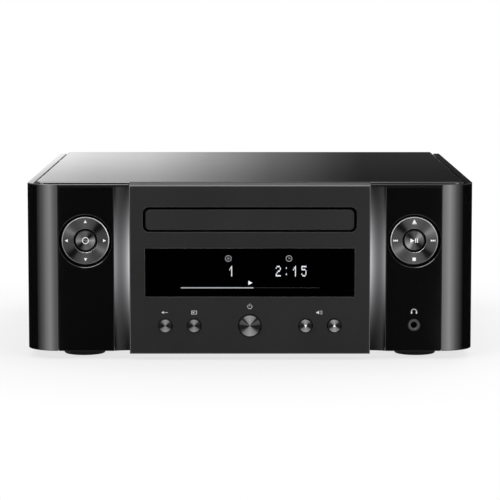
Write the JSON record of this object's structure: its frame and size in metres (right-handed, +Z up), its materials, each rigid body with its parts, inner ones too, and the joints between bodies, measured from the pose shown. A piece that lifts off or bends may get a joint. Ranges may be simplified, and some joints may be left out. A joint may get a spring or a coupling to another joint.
{
  "type": "network cd receiver",
  "caption": "Low half-width black receiver with a disc tray, display window, round four-way keys, push keys, folding aerials, speaker posts and sockets.",
  "frame": {"origin": "on the ground under the middle of the receiver's box, feet bottoms at z 0", "axes": "+X to the receiver's left as seen from behind and right as seen from the front, +Y from the front panel to the rear panel, +Z up"},
  "size_m": [0.28, 0.303, 0.111],
  "materials": {
    "case_gloss": "gloss black",
    "panel_satin": "satin dark grey",
    "cove_metal": "satin metallic grey",
    "key_metal": "spun, dark anodised",
    "window_black": "clear over black",
    "light_guide_clear": "clear",
    "display_board": "board",
    "circuit_board": "solder resist",
    "moulded_black": "moulded",
    "foot_rubber": "matt",
    "chassis_steel": "zinc plated",
    "rear_black_steel": "fine textured black",
    "transformer_steel": "varnished laminations",
    "sink_aluminium": "extruded",
    "gear_ivory": "moulded",
    "nut_gold": "plated",
    "socket_nickel": "nickel plated"
  },
  "bodies": {
    "root": {"left_side_panel": "case_gloss", "right_side_panel": "case_gloss", "left_fascia_insert": "case_gloss", "right_fascia_insert": "case_gloss", "top_plate": "case_gloss", "centre_panel": "panel_satin", "left_cove": "cove_metal", "right_cove": "cove_metal", "display_window": "window_black", "left_light_guide": "light_guide_clear", "right_light_guide": "light_guide_clear", "display_module": "display_board", "key_board_centre": "circuit_board", "key_board_left": "circuit_board", "key_board_right": "circuit_board", "main_board": "circuit_board", "power_board": "circuit_board", "front_subframe": "moulded_black", "headphone_jack": "moulded_black", "loader_frame": "moulded_black", "speaker_block": "moulded_black", "mains_inlet": "moulded_black", "foot_front_left": "foot_rubber", "foot_front_right": "foot_rubber", "foot_rear_left": "foot_rubber", "foot_rear_right": "foot_rubber", "bottom_chassis": "chassis_steel", "clamp_bridge": "chassis_steel", "loading_motor": "chassis_steel", "rear_panel": "rear_black_steel", "power_transformer": "transformer_steel", "heat_sink": "sink_aluminium", "line_socket_block": "socket_nickel", "network_socket": "socket_nickel", "usb_socket": "socket_nickel", "aerial_socket": "socket_nickel"},
    "tray": {"disc_tray": "moulded_black", "tray_door": "panel_satin"},
    "drive_gear": {"drive_gear": "gear_ivory"},
    "traverse": {"traverse_base": "chassis_steel"},
    "turntable": {"turntable": "moulded_black"},
    "sled": {"pickup_sled": "sink_aluminium"},
    "clamper": {"clamper": "gear_ivory"},
    "nav_carrier": {"nav_carrier": "moulded_black"},
    "nav_ring": {"nav_ring": "key_metal"},
    "enter_button": {"enter_button": "key_metal"},
    "transport_carrier": {"transport_carrier": "moulded_black"},
    "transport_ring": {"transport_ring": "key_metal"},
    "play_button": {"play_button": "key_metal"},
    "power_button": {"power_button": "key_metal"},
    "back_button": {"back_button": "key_metal"},
    "input_button": {"input_button": "key_metal"},
    "volume_down_button": {"volume_down_button": "key_metal"},
    "volume_up_button": {"volume_up_button": "key_metal"},
    "left_antenna": {"left_antenna": "moulded_black"},
    "right_antenna": {"right_antenna": "moulded_black"},
    "speaker_nut_1": {"speaker_nut_1": "nut_gold"},
    "speaker_nut_2": {"speaker_nut_2": "nut_gold"},
    "speaker_nut_3": {"speaker_nut_3": "nut_gold"},
    "speaker_nut_4": {"speaker_nut_4": "nut_gold"}
  },
  "joints": [
    {"name": "tray_slide", "type": "slide", "parent": "root", "child": "tray", "axis": [0, -1, 0], "range_m": [0, 0.14]},
    {"name": "gear_spin", "type": "hinge", "parent": "root", "child": "drive_gear", "pos_m": [0.042, -0.1243, 0.082], "axis": [0, 0, 1], "range_deg": [-806, 0]},
    {"name": "traverse_lift", "type": "slide", "parent": "root", "child": "traverse", "axis": [0, 0, 1], "range_m": [0, 0.0065]},
    {"name": "turntable_spin", "type": "hinge", "parent": "traverse", "child": "turntable", "pos_m": [0, -0.0713, 0.0798], "axis": [0, 0, 1], "continuous": true},
    {"name": "sled_slide", "type": "slide", "parent": "traverse", "child": "sled", "axis": [0, 1, 0], "range_m": [0, 0.032]},
    {"name": "clamper_spin", "type": "hinge", "parent": "root", "child": "clamper", "pos_m": [0, -0.0713, 0.096], "axis": [0, 0, 1], "continuous": true},
    {"name": "nav_rock", "type": "hinge", "parent": "root", "child": "nav_carrier", "pos_m": [-0.1027, -0.1371, 0.0744], "axis": [1, 0, 0], "range_deg": [-2, 2], "stiffness_Nm_per_rad": 0.4},
    {"name": "nav_sway", "type": "hinge", "parent": "nav_carrier", "child": "nav_ring", "pos_m": [-0.1027, -0.1371, 0.0744], "axis": [0, 0, 1], "range_deg": [-2, 2], "stiffness_Nm_per_rad": 0.4},
    {"name": "enter_press", "type": "slide", "parent": "root", "child": "enter_button", "axis": [0, 1, 0], "range_m": [0, 0.0008], "stiffness_N_per_m": 900, "springref_m": -0.0006},
    {"name": "transport_rock", "type": "hinge", "parent": "root", "child": "transport_carrier", "pos_m": [0.1027, -0.1371, 0.0744], "axis": [1, 0, 0], "range_deg": [-2, 2], "stiffness_Nm_per_rad": 0.4},
    {"name": "transport_sway", "type": "hinge", "parent": "transport_carrier", "child": "transport_ring", "pos_m": [0.1027, -0.1371, 0.0744], "axis": [0, 0, 1], "range_deg": [-2, 2], "stiffness_Nm_per_rad": 0.4},
    {"name": "play_press", "type": "slide", "parent": "root", "child": "play_button", "axis": [0, 1, 0], "range_m": [0, 0.0008], "stiffness_N_per_m": 900, "springref_m": -0.0006},
    {"name": "power_press", "type": "slide", "parent": "root", "child": "power_button", "axis": [0, 1, 0], "range_m": [0, 0.0008], "stiffness_N_per_m": 900, "springref_m": -0.0006},
    {"name": "back_press", "type": "slide", "parent": "root", "child": "back_button", "axis": [0, 1, 0], "range_m": [0, 0.0008], "stiffness_N_per_m": 900, "springref_m": -0.0006},
    {"name": "input_press", "type": "slide", "parent": "root", "child": "input_button", "axis": [0, 1, 0], "range_m": [0, 0.0008], "stiffness_N_per_m": 900, "springref_m": -0.0006},
    {"name": "volume_down_press", "type": "slide", "parent": "root", "child": "volume_down_button", "axis": [0, 1, 0], "range_m": [0, 0.0008], "stiffness_N_per_m": 900, "springref_m": -0.0006},
    {"name": "volume_up_press", "type": "slide", "parent": "root", "child": "volume_up_button", "axis": [0, 1, 0], "range_m": [0, 0.0008], "stiffness_N_per_m": 900, "springref_m": -0.0006},
    {"name": "left_antenna_fold", "type": "hinge", "parent": "root", "child": "left_antenna", "pos_m": [-0.123, 0.1425, 0.098], "axis": [0, 1, 0], "range_deg": [0, 180]},
    {"name": "right_antenna_fold", "type": "hinge", "parent": "root", "child": "right_antenna", "pos_m": [0.123, 0.1425, 0.098], "axis": [0, -1, 0], "range_deg": [0, 180]},
    {"name": "speaker_nut_1_turn", "type": "hinge", "parent": "root", "child": "speaker_nut_1", "pos_m": [-0.088, 0.1447, 0.034], "axis": [0, 1, 0], "range_deg": [0, 720]},
    {"name": "speaker_nut_2_turn", "type": "hinge", "parent": "root", "child": "speaker_nut_2", "pos_m": [-0.069, 0.1447, 0.034], "axis": [0, 1, 0], "range_deg": [0, 720]},
    {"name": "speaker_nut_3_turn", "type": "hinge", "parent": "root", "child": "speaker_nut_3", "pos_m": [-0.046, 0.1447, 0.034], "axis": [0, 1, 0], "range_deg": [0, 720]},
    {"name": "speaker_nut_4_turn", "type": "hinge", "parent": "root", "child": "speaker_nut_4", "pos_m": [-0.027, 0.1447, 0.034], "axis": [0, 1, 0], "range_deg": [0, 720]}
  ],
  "couplings": [
    {"joint": "gear_spin", "follows": "tray_slide", "rad_per_m": -100},
    {"joint": "clamper_spin", "follows": "turntable_spin", "ratio": 1}
  ]
}
